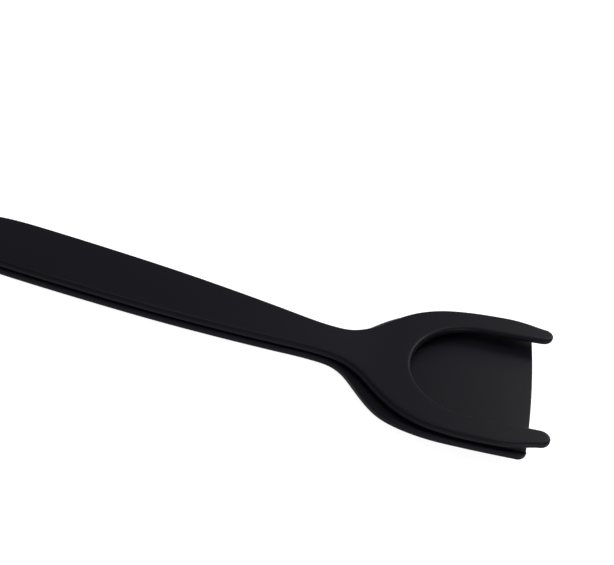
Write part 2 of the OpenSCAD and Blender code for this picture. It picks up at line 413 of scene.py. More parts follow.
def carve(thing, tool, how):
    """Joins a tool to a thing, or cuts it away, and then removes the tool."""
    step = thing.modifiers.new("carve", "BOOLEAN")
    step.object, step.operation, step.solver = tool, how, "EXACT"
    bpy.context.view_layer.update()
    made = bpy.data.meshes.new_from_object(thing.evaluated_get(bpy.context.evaluated_depsgraph_get()))
    thing.modifiers.clear()
    bm = bmesh.new()
    bm.from_mesh(made)
    bmesh.ops.remove_doubles(bm, verts=bm.verts, dist=CUT_WELD)
    bmesh.ops.dissolve_degenerate(bm, edges=bm.edges, dist=CUT_WELD)
    bm.verts.index_update()
    drop_fins(bm)
    bm.to_mesh(made)
    bm.free()
    thing.data = made
    bpy.data.objects.remove(tool)
    return thing


print("cuts are welded at", round(CUT_WELD / MM, 3), "mm")


# %% Lathe work, cutting blocks and crisp corners
LATHE_SIDES, CRISP_DEGREES, FLAT_WEIGHT = 64, 32, 80


def turned(name, profile, middle, sides=LATHE_SIDES):
    """A piece turned on a lathe about the line along Y through middle; profile is (radius, y) pairs."""
    bm = bmesh.new()
    closed_profile = profile[0][0] > 0
    loops = []
    for r, y in profile:
        if r == 0:
            loops.append([bm.verts.new((middle.x, middle.y + y, middle.z))])
            continue
        angles = [2 * math.pi * k / sides for k in range(sides)]
        loops.append([
            bm.verts.new((middle.x + r * math.cos(a), middle.y + y, middle.z + r * math.sin(a)))
            for a in angles
        ])
    pairs = list(zip(loops, loops[1:])) + ([(loops[-1], loops[0])] if closed_profile else [])
    for a, b in pairs:
        for k in range(sides):
            corners = [a[k % len(a)], a[(k + 1) % len(a)], b[(k + 1) % len(b)], b[k % len(b)]]
            bm.faces.new(list(dict.fromkeys(corners)))
    mesh = bpy.data.meshes.new(name)
    bm.to_mesh(mesh)
    bm.free()
    return piece(name, mesh)


def block(size, placing):
    """A plain cutting block, thrown away after use."""
    bm = bmesh.new()
    bmesh.ops.create_cube(bm, size=1, matrix=placing @ Matrix.Diagonal((*size, 1)))
    mesh = bpy.data.meshes.new("block")
    bm.to_mesh(mesh)
    bm.free()
    return piece("block", mesh)


def finish_mesh(thing):
    """Marks what stays a crisp corner, and lets the large faces rule the shading near the edges."""
    thing.data.shade_smooth()
    thing.data.set_sharp_from_angle(angle=math.radians(CRISP_DEGREES))
    soften = thing.modifiers.new("soften", "WEIGHTED_NORMAL")
    soften.keep_sharp = True
    soften.weight = FLAT_WEIGHT
    return thing


print("lathe work has", LATHE_SIDES, "sides; corners over", CRISP_DEGREES, "degrees stay crisp")


# %% [markdown]
# ## The upper arm
# One nylon moulding: a flat handle, a narrow waist and a fork with two prongs. Its outer edge is
# rounded generously because it is what the hand closes on, and so is the mouth's upper edge, which
# shows as a soft lip. At the tail the arm narrows to a tongue with two knuckles that turn on the
# pin, a slot for the spring, and a heel that stops the arms opening too far. Modelling it as one
# outline with its own rounding at each stretch keeps the edge flowing from tail to tip.

# %% The upper arm's outline
HEEL_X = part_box("upper_arm")[0].x
TONGUE_W = wall_y("upper_arm", HINGE.x - 7 * MM, STACK - 0.5 * MM)
HEEL_T = STACK - under_of("upper_arm", HINGE.x - 7 * MM)
SHOULDER_X = HINGE.x + STACK / 2 + MM
SHOULDER_W = wall_y("upper_arm", SHOULDER_X + MM, STACK - MM)
MOUTH_DEEP = 29 * MM
mouth_x = touch("upper_arm", (FAR, 0, STACK + 1.5 * MM), (-1, 0, 0)).x
round_x = mouth_x + MOUTH_DEEP
mouth_w = wall_y("upper_arm", round_x, float(rise(round_x)) + STACK - 1.5 * MM, 0.0)

corner_in, corner_out, tongue_corner = 0.8 * MM, 1.5 * MM, 1.2 * MM
# Roundings of the top edge and of the under edge
TONGUE_ROUND, SHOULDER_ROUND, GRIP_ROUND = (0.6 * MM, 0.4 * MM), (MM, 0.5 * MM), (1.8 * MM, 1.8 * MM)
TIP_ROUND, PRONG_ROUND, MOUTH_ROUND = (1.3 * MM, 1.2 * MM), (1.3 * MM, 1.1 * MM), (1.8 * MM, 0.9 * MM)
tongue_x, tongue_y = HEEL_X + tongue_corner, TONGUE_W - tongue_corner
swell = np.radians(np.linspace(0, 90, 46))
mouth = np.column_stack([round_x - MOUTH_DEEP * np.sin(swell), mouth_w * np.cos(swell)])
tongue_arc = arc(tongue_x, tongue_y, tongue_corner, 180, 90, 5)
nook_arc = arc(SHOULDER_X - corner_in, TONGUE_W + corner_in, corner_in, -90, 0, 5)
shoulder_arc = arc(SHOULDER_X + corner_out, SHOULDER_W - corner_out, corner_out, 180, 95, 5)
UPPER_LOOP = both_sides(
    run([(HEEL_X, 0)], *TONGUE_ROUND),
    run(tongue_arc, *TONGUE_ROUND),
    run(nook_arc, *TONGUE_ROUND),
    run(shoulder_arc, *SHOULDER_ROUND),
    run(side_of("upper_arm", SHOULDER_X + corner_out, NOSE_X, STACK - 1.5 * MM), *GRIP_ROUND),
    run(arc(NOSE_X, prong_y, (PRONG_OUT - PRONG_IN) / 2, 85, -85, 16), *TIP_ROUND),
    run([(NOSE_X, PRONG_IN)], *PRONG_ROUND),
    run(mouth, *MOUTH_ROUND),
)
print("upper outline", len(UPPER_LOOP), "points; mouth", round(2 * mouth_w / MM, 1), "mm wide")

# %% The spring's slot in the upper arm
SLOT_ROUND = 0.4 * MM
COIL_W = 4.6 * MM
SLOT_XS = (HINGE.x - STACK / 2 - 0.4 * MM, HINGE.x + 7 * MM)


def rounded_box(x0, x1, half_w, r):
    """Outline of a slot along X with round corners."""
    left, right, far = x0 + r, x1 - r, half_w - r
    corners = [(right, far, 0), (left, far, 90), (left, -far, 180), (right, -far, 270)]
    return np.concatenate([arc(x, y, r, a, a + 90, 4) for x, y, a in corners])


slot_box = rounded_box(*SLOT_XS, COIL_W, 0.8 * MM)
SLOT_LOOP = closed(run(slot_box, SLOT_ROUND, SLOT_ROUND), hole=True)
print("slot", [round(x / MM, 1) for x in SLOT_XS], "mm,", round(2 * COIL_W / MM, 1), "mm wide")

# %% The upper arm's heights
CROWN = 0.3 * MM
GRIP_W = wall_y("upper_arm", HANDLE_X, STACK - MM)


def upper_top(x, y):
    """Height of the upper face, which is a little crowned along the grip."""
    grip = ease((x - SHOULDER_X) / (20 * MM)) * ease((BEND_X - x) / (30 * MM))
    return STACK + rise(x) - CROWN * grip * (y / GRIP_W) ** 2


def upper_under(x, y):
    """Height of the under face: the prongs grow thinner and the heel is thicker."""
    thinning = (UPPER_T - PRONG_T) * np.clip((x - BEND_X) / (NOSE_X - BEND_X), 0, 1)
    heel = ease((HINGE.x + MM - x) / (2 * MM))
    return STACK + rise(x) - UPPER_T + thinning + (UPPER_T - HEEL_T) * heel


upper = slab("upper_arm_moulding", [UPPER_LOOP, SLOT_LOOP], upper_top, upper_under)
print("upper arm slab", len(upper.data.polygons), "faces")

# %% [markdown]
# ## Knuckles and spring
# Two round knuckles under the tongue run on the pin, and the spring sits between them. The spring's
# own sizes settle everything here: a leg leaves the coil along its tangent and has to end inside the
# arm, which gives the angle between leg and arm, and so the turns and the width of the coil.

# %% Sizes of the pin and the spring
PIN_R = 2.0 * MM
BORE_R = PIN_R + 0.04 * MM
KNUCKLE_R = STACK / 2 - 0.05 * MM
EASE_R = 0.4 * MM
WIRE_R, COIL_R = 0.6 * MM, 3.0 * MM
LEG_L, LEG_END = 13 * MM, 0.8 * MM
reach = math.hypot(COIL_R, LEG_L)
LEG_TILT = math.asin(COIL_R / reach) - math.asin(LEG_END / reach)
COIL_TURNS = 5
COIL_SWEEP = math.pi + 2 * LEG_TILT + 2 * math.pi * COIL_TURNS
PITCH = WIRE_R * 2.1
COIL_Y = PITCH * COIL_SWEEP / (2 * math.pi) / 2
print("coil", round(2 * COIL_Y / MM, 2), "mm long; legs tilt", round(math.degrees(LEG_TILT), 2))

# %% Knuckles, bore and spring groove of the upper arm
CUT_SIDES, BORE_SIDES, BORE_REACH = 96, 82, 9 * MM
GROOVE_W = 1.8 * MM


def knuckle(side):
    """One knuckle, turned on a lathe, for the side 1 or -1."""
    y0, y1 = sorted((side * (COIL_W + 0.05 * MM), side * (TONGUE_W - 0.05 * MM)))
    profile = [(0, y0), (KNUCKLE_R - EASE_R, y0), (KNUCKLE_R, y0 + EASE_R),
               (KNUCKLE_R, y1 - EASE_R), (KNUCKLE_R - EASE_R, y1), (0, y1)]
    return turned("knuckle", profile, HINGE, CUT_SIDES)


def groove(up):
    """Cutting block for a spring leg's groove: up is 1 in the upper arm, -1 in the lower one."""
    turn = Matrix.Rotation(up * LEG_TILT, 4, "Y")
    place = Matrix.Translation(HINGE + Vector((0, up * COIL_Y, 0)))
    length, high = LEG_L + 2 * MM, 6 * MM
    middle = Vector((length / 2, 0, up * (COIL_R + WIRE_R + 0.06 * MM - high / 2)))
    return block((length, GROOVE_W, high), place @ turn @ Matrix.Translation(middle))


for side in (-1, 1):
    carve(upper, knuckle(side), "UNION")
bore_profile = [(0, -BORE_REACH), (BORE_R, -BORE_REACH), (BORE_R, BORE_REACH), (0, BORE_REACH)]
bore = turned("bore", bore_profile, HINGE, BORE_SIDES)
carve(upper, bore, "DIFFERENCE")
carve(upper, groove(1), "DIFFERENCE")
finish_mesh(upper)
print("upper arm", len(upper.data.polygons), "faces")

# %% [markdown]
# ## The lower arm
# The other moulding has the same handle, and a head that is a wide turner blade: a thin floor that
# narrows to a scraping edge at the front, between two raised rims that keep food on it. At the tail
# two round ears hold the pin, a sloping ledge behind them stops the heel, and the block that joins
# the ears has a hole to hang the tool by. The same slab makes it, with two more loops for the holes.

# %% The lower arm's outline
TAIL_R = wall_y("lower_arm", HINGE.x - 7 * MM, STACK - 0.5 * MM)
EAR_IN = wall_y("lower_arm", HINGE.x - 7 * MM, STACK - 0.5 * MM, 0.0)
EAR_R = STACK / 2
CORNER_R, FRONT_BOW = 4 * MM, 1.2 * MM
corner_x = FRONT - FRONT_BOW - CORNER_R
corner_w = wall_y("lower_arm", corner_x, float(rise(corner_x)) + MM)
EAR_XS = [HINGE.x + EAR_R * math.cos(math.radians(a)) for a in (0, 8, 16, 26, 38, 52, 70, 90)]
blade_side = side_of("lower_arm", TAIL + TAIL_R, corner_x, MM, EAR_XS)
front_y = np.linspace(corner_w - CORNER_R, 0, 40)
front_x = FRONT - FRONT_BOW * (front_y / (corner_w - CORNER_R)) ** 2


HANG_ROUND, POCKET_ROUND = 0.8 * MM, 0.4 * MM
TAIL_ROUND, CORNER_ROUND, FRONT_ROUND = (1.3 * MM, 1.3 * MM), (0.9 * MM, 1.2 * MM), (0.5 * MM, 0.5 * MM)


def soft_side(points):
    """Roundings along the side: even on the hinge block, then a soft underside for the hand."""
    x = points[:, 0]
    grip = ease((x - HINGE.x - EAR_R - MM) / (2 * MM))
    head = ease((x - BEND_X) / (30 * MM))
    return np.column_stack([points, (1.3 - 0.4 * grip) * MM, (1.3 + 0.7 * grip - 0.5 * head) * MM])


LOWER_LOOP = both_sides(
    run(arc(TAIL + TAIL_R, 0, TAIL_R, 180, 92, 22), *TAIL_ROUND),
    soft_side(blade_side),
    run(arc(corner_x, corner_w - CORNER_R, CORNER_R, 85, 5, 12), *CORNER_ROUND),
    run(np.column_stack([front_x, front_y]), *FRONT_ROUND),
)
print("lower outline", len(LOWER_LOOP), "points; blade", round(2 * corner_w / MM, 1), "mm wide")

# %% The hanging hole and the hinge's pocket
HANG = next(m for m in RECORD["mounts"] if m["name"] == "hang_hole")
hang_ring = arc(HANG["pos_m"][0], HANG["pos_m"][1], HANG["dims"]["r_mm"] * MM, 0, 352.5, 47)
HANG_LOOP = closed(run(hang_ring, HANG_ROUND, HANG_ROUND), hole=True)
pocket_x0, pocket_x1 = HINGE.x - 10.4 * MM, HINGE.x + EAR_R + 0.4 * MM
pocket = np.array([
    (pocket_x0, -EAR_IN), (pocket_x1, -EAR_IN), (pocket_x1, -COIL_W), (SLOT_XS[1], -COIL_W),
    (SLOT_XS[1], COIL_W), (pocket_x1, COIL_W), (pocket_x1, EAR_IN), (pocket_x0, EAR_IN),
])
POCKET_LOOP = closed(run(pocket, POCKET_ROUND, POCKET_ROUND), hole=True)
print("pocket", round((pocket_x1 - pocket_x0) / MM, 1), "mm long,", round(2 * EAR_IN / MM, 1), "mm wide")

# %% The lower arm's heights
RIM_W = 3 * MM
TRAY_R = corner_w - RIM_W - 0.2 * MM
TRAY_X = BEND_X + 12 * MM + TRAY_R
WALL_W = 1.6 * MM
plan_x, plan_w = blade_side[:, 0], blade_side[:, 1]


def tray_depth(x, y):
    """How far a point is inside the tray's side walls and round back, negative outside it."""
    side = np.interp(x, plan_x, plan_w) - RIM_W - np.abs(y)
    back = TRAY_R - np.hypot(x - TRAY_X, y)
    return np.where(x < TRAY_X, np.minimum(side, back), side)


def lower_under(x, y):
    """Height of the under face, which is the bend itself."""
    return rise(x)


def floor_t(x):
    """Thickness of the blade's floor, from the two places where it was touched."""
    slope = (FLOOR_TS[1] - FLOOR_TS[0]) / (FLOOR_XS[1] - FLOOR_XS[0])
    return FLOOR_TS[0] + slope * (x - FLOOR_XS[0])


def lower_top(x, y):
    """Height of the upper face: the ears, then the handle, then the blade's floor and its rims."""
    head = np.clip((x - BEND_X) / (FRONT - BEND_X), 0, 1)
    rim = rise(x) + LOWER_T + (RIM_H - LOWER_T) * head
    tray = ease((tray_depth(x, y) + 0.2 * MM) / WALL_W)
    plate = rim + (rise(x) + floor_t(x) - rim) * tray
    along = np.clip(x - HINGE.x, 0, EAR_R)
    ear = HINGE.z + np.sqrt(EAR_R**2 - along**2)
    return np.where(x > HINGE.x + EAR_R + 0.05 * MM, plate, ear)


print("tray starts at X =", round((TRAY_X - TRAY_R) / MM, 1), "mm; its back has a radius of",
      round(TRAY_R / MM, 1), "mm")


# %% Lines that the mesh follows, and the slab of the lower arm
def tray_line(depth):
    """A line round the tray at one depth inside its walls, so that the mesh follows its edge."""
    xs = np.arange(TRAY_X, FRONT - 2 * MM, 1.5 * MM)
    side = np.column_stack([xs, np.interp(xs, plan_x, plan_w) - RIM_W - depth])
    r = TRAY_R - depth
    widest = np.interp(TRAY_X, plan_x, plan_w) - RIM_W - depth
    start = 90 if widest >= r else math.degrees(math.asin(widest / r))
    back = arc(TRAY_X, 0, r, 180, 180 - start, 36)
    half = np.concatenate([back[:-1], side[side[:, 1] < 1]])
    return np.concatenate([half[:0:-1], half * (1, -1)])


def ear_line(x, side):
    """A line across one ear, so that its round top is made of even strips."""
    w = np.interp(x, plan_x, plan_w)
    return np.array([(x, side * (EAR_IN + 0.7 * MM)), (x, side * (w - 1.8 * MM))])


ear_lines = [ear_line(x, side) for x in (*EAR_XS, HINGE.x + EAR_R + 0.3 * MM) for side in (-1, 1)]
tray_lines = [tray_line(d * MM) for d in (-0.25, 0.1, 0.6, 1.1, 1.5)]
lower_loops = [LOWER_LOOP, HANG_LOOP, POCKET_LOOP]
lower = slab("lower_arm_moulding", lower_loops, lower_top, lower_under, ear_lines + tray_lines)
print("lower arm slab", len(lower.data.polygons), "faces")

# %% [markdown]
# ## Machining the hinge's seat
# In the real moulding the bores and recesses come from sliding cores in the mould. Here the slab gets
# its sloping ledge first, then both ears are drilled from outside, each with a recess that hides the
# head or the cap, and last the groove for the spring's lower leg is cut.

# %% The ledge, the bores and the groove of the lower arm
LEDGE_XS = (HINGE.x - 9.5 * MM, HINGE.x - 5.5 * MM)
ledge_zs = [top_of("lower_arm", x) for x in LEDGE_XS]
LEDGE_SLOPE = (ledge_zs[1] - ledge_zs[0]) / (LEDGE_XS[1] - LEDGE_XS[0])
ledge_box = rounded_box(pocket_x0 - 0.4 * MM, HINGE.x - EAR_R - 0.4 * MM, EAR_IN + 0.4 * MM, 0.3 * MM)
ledge = slab(
    "ledge",
    [closed(run(ledge_box, 0.2 * MM, 0.2 * MM))],
    lambda x, y: ledge_zs[0] + LEDGE_SLOPE * (x - LEDGE_XS[0]),
    lambda x, y: 0.25 * MM + 0 * x,
)
HEAD_R, RECESS_R, RECESS_D, CAP_T = 3.2 * MM, 3.4 * MM, 1.5 * MM, 1.3 * MM
SEAT_Y = TAIL_R - RECESS_D


def drill(side):
    """Cutter for one ear: the pin's bore and a recess with a small chamfer at its mouth."""
    ys = [side * y for y in (6 * MM, SEAT_Y, TAIL_R - 0.25 * MM, TAIL_R + 0.2 * MM, TAIL_R + MM)]
    profile = [(0, ys[0]), (BORE_R, ys[0]), (BORE_R, ys[1]), (RECESS_R, ys[1]), (RECESS_R, ys[2]),
               (RECESS_R + 0.45 * MM, ys[3]), (RECESS_R + 0.45 * MM, ys[4]), (0, ys[4])]
    return turned("drill", profile, HINGE, 90)


carve(lower, ledge, "UNION")
for side in (-1, 1):
    carve(lower, drill(side), "DIFFERENCE")
carve(lower, groove(-1), "DIFFERENCE")
finish_mesh(lower)
print("lower arm", len(lower.data.polygons), "faces; ledge falls", round(LEDGE_SLOPE, 3))

# %% [markdown]
# ## The pin and its cap
# The hinge turns on a stainless pin. Both the pin and the cap pushed on its far end are lathe work,
# so a profile turned about the hinge's line gives them, with the small chamfers a lathe leaves.

# %% Pin and cap
BREAK = 0.3 * MM
pin_profile = [
    (0, -SEAT_Y - CAP_T), (HEAD_R - 1.1 * MM, -SEAT_Y - CAP_T + 0.02 * MM),
    (HEAD_R - BREAK, -SEAT_Y - CAP_T + 0.16 * MM), (HEAD_R, -SEAT_Y - CAP_T + 0.16 * MM + BREAK),
    (HEAD_R, -SEAT_Y), (PIN_R, -SEAT_Y), (PIN_R, SEAT_Y + 0.78 * MM - BREAK),
    (PIN_R - BREAK, SEAT_Y + 0.78 * MM), (0, SEAT_Y + 0.78 * MM),
]
cap_profile = [
    (0, SEAT_Y + CAP_T), (HEAD_R - 1.1 * MM, SEAT_Y + CAP_T - 0.02 * MM),
    (HEAD_R - BREAK, SEAT_Y + CAP_T - 0.16 * MM), (HEAD_R, SEAT_Y + CAP_T - 0.16 * MM - BREAK),
    (HEAD_R, SEAT_Y), (PIN_R + 0.01 * MM, SEAT_Y), (PIN_R + 0.01 * MM, SEAT_Y + 0.8 * MM),
    (0, SEAT_Y + 0.8 * MM),
]
pin = finish_mesh(turned("pin", pin_profile, HINGE))
cap = finish_mesh(turned("cap", cap_profile, HINGE))
print("pin", round((2 * SEAT_Y + CAP_T + 0.78 * MM) / MM, 2), "mm long")

# %% [markdown]
# ## The torsion spring
# A length of drawn wire: a straight leg in a groove of the lower arm, five and a half turns round
# the pin and a leg in the upper arm. A screw modifier could wind the coil, but the legs have to leave
# it along its tangent, so one formula gives the whole centre line, and a ring of points follows it.

# %% Spring
WIRE_SIDES, COIL_STEPS, LEG_STEPS = 16, 200, 6
COIL_START = LEG_TILT - math.pi / 2


def coil_point(turned_by):
    """A point of the coil's centre line, after so much turning from the lower leg."""
    a = COIL_START - turned_by
    y = COIL_Y * (2 * turned_by / COIL_SWEEP - 1)
    return HINGE + Vector((COIL_R * math.cos(a), y, COIL_R * math.sin(a)))


def leg_points(start, up):
    """The centre line of a leg: up is 1 in the upper arm, -1 in the lower one."""
    way = Vector((math.cos(LEG_TILT), 0, -up * math.sin(LEG_TILT)))
    return [start + way * LEG_L * k / LEG_STEPS for k in range(1, LEG_STEPS + 1)]


def tube(name, line, radius, sides):
    """A round tube along a line of points, with domed ends."""
    points, faces = [], []
    spots = [line[0]] * 2 + list(line) + [line[-1]] * 2
    swells = [0.0, 0.7] + [1.0] * len(line) + [0.7, 0.0]
    pushes = [0.0, 0.1] + [0.5] + [0.0] * (len(line) - 2) + [-0.5] + [-0.1, 0.0]
    for i, (spot, swell, push) in enumerate(zip(spots, swells, pushes)):
        k = min(max(i - 2, 0), len(line) - 1)
        way = (line[min(k + 1, len(line) - 1)] - line[max(k - 1, 0)]).normalized()
        v = way.cross(Vector((0, 1, 0))).normalized()
        u = v.cross(way)
        r = max(swell, 0.05) * radius
        for j in range(sides):
            a = 2 * math.pi * j / sides
            points.append(spot + way * push * radius + (u * math.cos(a) + v * math.sin(a)) * r)
    for i in range(len(spots) - 1):
        for j in range(sides):
            n = (j + 1) % sides
            faces.append((i * sides + j, i * sides + n, (i + 1) * sides + n, (i + 1) * sides + j))
    faces.append(tuple(range(sides))[::-1])
    faces.append(tuple(range((len(spots) - 1) * sides, len(spots) * sides)))
    mesh = bpy.data.meshes.new(name)
    mesh.from_pydata(points, [], faces)
    return piece(name, mesh)


winds = [coil_point(COIL_SWEEP * k / COIL_STEPS) for k in range(COIL_STEPS + 1)]
wire = leg_points(winds[0], -1)[::-1] + winds + leg_points(winds[-1], 1)
spring = tube("spring_wire", wire, WIRE_R, WIRE_SIDES)
print("spring wire", round(sum((a - b).length for a, b in zip(wire, wire[1:])) / MM), "mm long")

# %% [markdown]
# ## Finishes
# The nylon is nearly black, and what the eye reads is its surface: a fine spark-eroded texture from
# the mould, broad patches where hands have polished it, pale rubbing on the edges and a little dust.
# Each of these is a node group with named sockets, built once, so that every material mixes its own
# measure of it. The shaders themselves stay in the materials.

# %% Node helpers
def node(tree, kind, **settings):
    """Adds a node; a setting is a socket's value if the node has such a socket, else a property."""
    made = tree.nodes.new(kind)
    for key, value in settings.items():
        if key in made.inputs:
            made.inputs[key].default_value = value
        else:
            setattr(made, key, value)
    return made


def group(name, inputs, outputs):
    """An empty node group; inputs is {name: default}, outputs a list of names."""
    tree = bpy.data.node_groups.new(name, "ShaderNodeTree")
    for socket, default in inputs.items():
        made = tree.interface.new_socket(socket, in_out="INPUT", socket_type="NodeSocketFloat")
        made.default_value = default
    for socket in outputs:
        tree.interface.new_socket(socket, in_out="OUTPUT", socket_type="NodeSocketFloat")
    return tree, node(tree, "NodeGroupInput"), node(tree, "NodeGroupOutput")


def math_node(tree, how, a, b, clamp=False):
    """Adds a sum; a and b are sockets or numbers."""
    made = node(tree, "ShaderNodeMath", operation=how, use_clamp=clamp)
    for socket, value in zip(made.inputs, (a, b)):
        if isinstance(value, bpy.types.NodeSocket):
            tree.links.new(value, socket)
        else:
            socket.default_value = value
    return made.outputs[0]


print("helpers for nodes, groups and sums are ready")

# %% [markdown]
# ## Grain of the mould
# A spark-eroded mould leaves the nylon with a fine, even texture and a slow swell. Small soft cells
# with noise on them give the first, and a large noise the second, which also parts the surface into
# patches that are a little smoother where hands hold it.

# %% Mould grain
def mould_grain():
    """Fine cells and a slow swell: height for bump, and a patch mask for roughness."""
    sizes = {"Cells per metre": 2600.0, "Swell": 0.3}
    tree, given, out = group("mould grain", sizes, ["Height", "Patches"])
    place = node(tree, "ShaderNodeTexCoord")
    cells = node(tree, "ShaderNodeTexVoronoi", feature="SMOOTH_F1")
    fine = node(tree, "ShaderNodeTexNoise", Detail=4.0, Roughness=0.6)
    slow = node(tree, "ShaderNodeTexNoise", Scale=55.0, Detail=3.0, Roughness=0.55)
    for tex in (cells, fine, slow):
        tree.links.new(place.outputs["Object"], tex.inputs["Vector"])
    for tex in (cells, fine):
        tree.links.new(given.outputs["Cells per metre"], tex.inputs["Scale"])
    swell = math_node(tree, "MULTIPLY", slow.outputs["Fac"], given.outputs["Swell"])
    grain = math_node(tree, "MULTIPLY", cells.outputs["Distance"], 0.6)
    grain = math_node(tree, "ADD", grain, fine.outputs["Fac"])
    tree.links.new(math_node(tree, "ADD", grain, swell), out.inputs["Height"])
    patches = node(tree, "ShaderNodeMapRange", **{"From Min": 0.38, "From Max": 0.66})
    tree.links.new(slow.outputs["Fac"], patches.inputs["Value"])
    tree.links.new(patches.outputs["Result"], out.inputs["Patches"])
    return tree


GRAIN = mould_grain()
print(GRAIN.name, "has", len(GRAIN.nodes), "nodes")

# %% [markdown]
# ## Worn edges
# Nylon turns paler where it is rubbed, and that happens on raised edges. Pointiness tells how far a
# point stands out from its neighbours, and noise breaks the band up so that it doesn't look painted.


# %% Edge wear
def edge_wear():
    """Mask of the raised edges, broken up so that it looks rubbed and not drawn."""
    tree, given, out = group("edge wear", {"Sharpness": 0.53, "Break up": 90.0}, ["Mask"])
    shape = node(tree, "ShaderNodeNewGeometry")
    place = node(tree, "ShaderNodeTexCoord")
    noise = node(tree, "ShaderNodeTexNoise", Detail=5.0, Roughness=0.65)
    tree.links.new(place.outputs["Object"], noise.inputs["Vector"])
    tree.links.new(given.outputs["Break up"], noise.inputs["Scale"])
    raised = math_node(tree, "SUBTRACT", shape.outputs["Pointiness"], given.outputs["Sharpness"])
    raised = math_node(tree, "MULTIPLY", raised, 14.0, clamp=True)
    worn = node(tree, "ShaderNodeMapRange", **{"From Min": 0.42, "From Max": 0.62})
    tree.links.new(noise.outputs["Fac"], worn.inputs["Value"])
    tree.links.new(math_node(tree, "MULTIPLY", raised, worn.outputs["Result"]), out.inputs["Mask"])
    return tree


WEAR = edge_wear()
print(WEAR.name, "has", len(WEAR.nodes), "nodes")

# %% [markdown]
# ## Scratches and dust
# A drawer full of other tools leaves long fine scratches that run with the handle. Stretching a noise
# along X gives them without drawing a single one, and a few tiny round cells make specks of dust.


# %% Scuffs and dust
def scuffs():
    """Long fine scratches along the tool and sparse specks of dust."""
    sizes = {"Stretch": 14.0, "Specks": 900.0}
    tree, given, out = group("scuffs and dust", sizes, ["Scratches", "Dust"])
    place = node(tree, "ShaderNodeTexCoord")
    pulled = node(tree, "ShaderNodeMapping")
    across = node(tree, "ShaderNodeCombineXYZ", X=1.0)
    tree.links.new(given.outputs["Stretch"], across.inputs["Y"])
    tree.links.new(given.outputs["Stretch"], across.inputs["Z"])
    tree.links.new(place.outputs["Object"], pulled.inputs["Vector"])
    tree.links.new(across.outputs["Vector"], pulled.inputs["Scale"])
    lines = node(tree, "ShaderNodeTexNoise", Scale=60.0, Detail=6.0, Roughness=0.7)
    tree.links.new(pulled.outputs["Vector"], lines.inputs["Vector"])
    thin = node(tree, "ShaderNodeMapRange", **{"From Min": 0.6, "From Max": 0.72})
    tree.links.new(lines.outputs["Fac"], thin.inputs["Value"])
    tree.links.new(thin.outputs["Result"], out.inputs["Scratches"])
    specks = node(tree, "ShaderNodeTexVoronoi")
    tree.links.new(place.outputs["Object"], specks.inputs["Vector"])
    tree.links.new(given.outputs["Specks"], specks.inputs["Scale"])
    dots = node(tree, "ShaderNodeMapRange", **{"From Min": 0.1, "From Max": 0.04})
    tree.links.new(specks.outputs["Distance"], dots.inputs["Value"])
    tree.links.new(dots.outputs["Result"], out.inputs["Dust"])
    return tree


SCUFFS = scuffs()
print(SCUFFS.name, "has", len(SCUFFS.nodes), "nodes")


# %% Placing the effects in a material
def placed(tree, which, **values):
    """Puts one of the groups into a material, with its sockets set."""
    made = node(tree, "ShaderNodeGroup")
    made.node_tree = which
    for key, value in values.items():
        made.inputs[key.replace("_", " ")].default_value = value
    return made


def blended(tree, mask, low, high):
    """A colour or a number that goes from low to high with a mask."""
    kind = "RGBA" if isinstance(high, tuple) else "FLOAT"
    made = node(tree, "ShaderNodeMix", data_type=kind)
    first, second = {"RGBA": (6, 7), "FLOAT": (2, 3)}[kind]
    tree.links.new(mask, made.inputs[0])
    for index, value in ((first, low), (second, high)):
        if isinstance(value, bpy.types.NodeSocket):
            tree.links.new(value, made.inputs[index])
        else:
            made.inputs[index].default_value = value
    return made.outputs[2 if kind == "RGBA" else 0]


def blank(name):
    """A new material with nothing but a shader in it."""
    material = bpy.data.materials.new(name)
    material.use_nodes = True
    tree = material.node_tree
    tree.nodes.clear()
    shader = node(tree, "ShaderNodeBsdfPrincipled")
    tree.links.new(shader.outputs[0], node(tree, "ShaderNodeOutputMaterial").inputs["Surface"])
    return material, tree, shader


print("a blend of two values works for a", "colour and for a number")

# %% [markdown]
# ## Black nylon
# Glass-filled nylon is black right through, with a dull sheen. Almost nothing comes back from below
# the surface, so the base colour is close to zero and the specular level is kept low, and what
# shows the form is how rough each patch is: grain, handled patches and scratches each set it.

# %% Black nylon
NYLON = (0.0038, 0.0039, 0.0064, 1)
NYLON_RUBBED = (0.011, 0.0115, 0.0135, 1)
DUST = (0.03, 0.03, 0.028, 1)
DUST_SHARE = 0.1
HANDLED, UNTOUCHED, SCRATCHED = 0.43, 0.5, 0.56


def nylon():
    """The arms' material."""
    material, tree, shader = blank("black nylon")
    shader.inputs["IOR"].default_value = 1.5
    shader.inputs["Specular IOR Level"].default_value = 0.065
    grain = placed(tree, GRAIN)
    wear = placed(tree, WEAR)
    marks = placed(tree, SCUFFS)
    colour = blended(tree, wear.outputs["Mask"], NYLON, NYLON_RUBBED)
    colour = blended(tree, math_node(tree, "MULTIPLY", marks.outputs["Dust"], DUST_SHARE), colour, DUST)
    tree.links.new(colour, shader.inputs["Base Color"])
    rough = blended(tree, grain.outputs["Patches"], HANDLED, UNTOUCHED)
    rough = blended(tree, marks.outputs["Scratches"], rough, SCRATCHED)
    tree.links.new(rough, shader.inputs["Roughness"])
    bump = node(tree, "ShaderNodeBump", Strength=0.32, Distance=0.03 * MM)
    tree.links.new(grain.outputs["Height"], bump.inputs["Height"])
    tree.links.new(bump.outputs["Normal"], shader.inputs["Normal"])
    return material


NYLON_FINISH = nylon()
print("nylon made with", len(NYLON_FINISH.node_tree.nodes), "nodes")

# %% [markdown]
# ## Steel
# The pin and its cap are stainless, turned on a lathe that leaves fine rings round the axis. The
# spring wire is darker: drawn through a die, with marks along it and a thin film of oil. One function
# makes both, since they differ in colour, in roughness and in how fine the rings are.

# %% Stainless pin and spring wire
RING_ROUGH, RUBBED = 0.12, 0.2


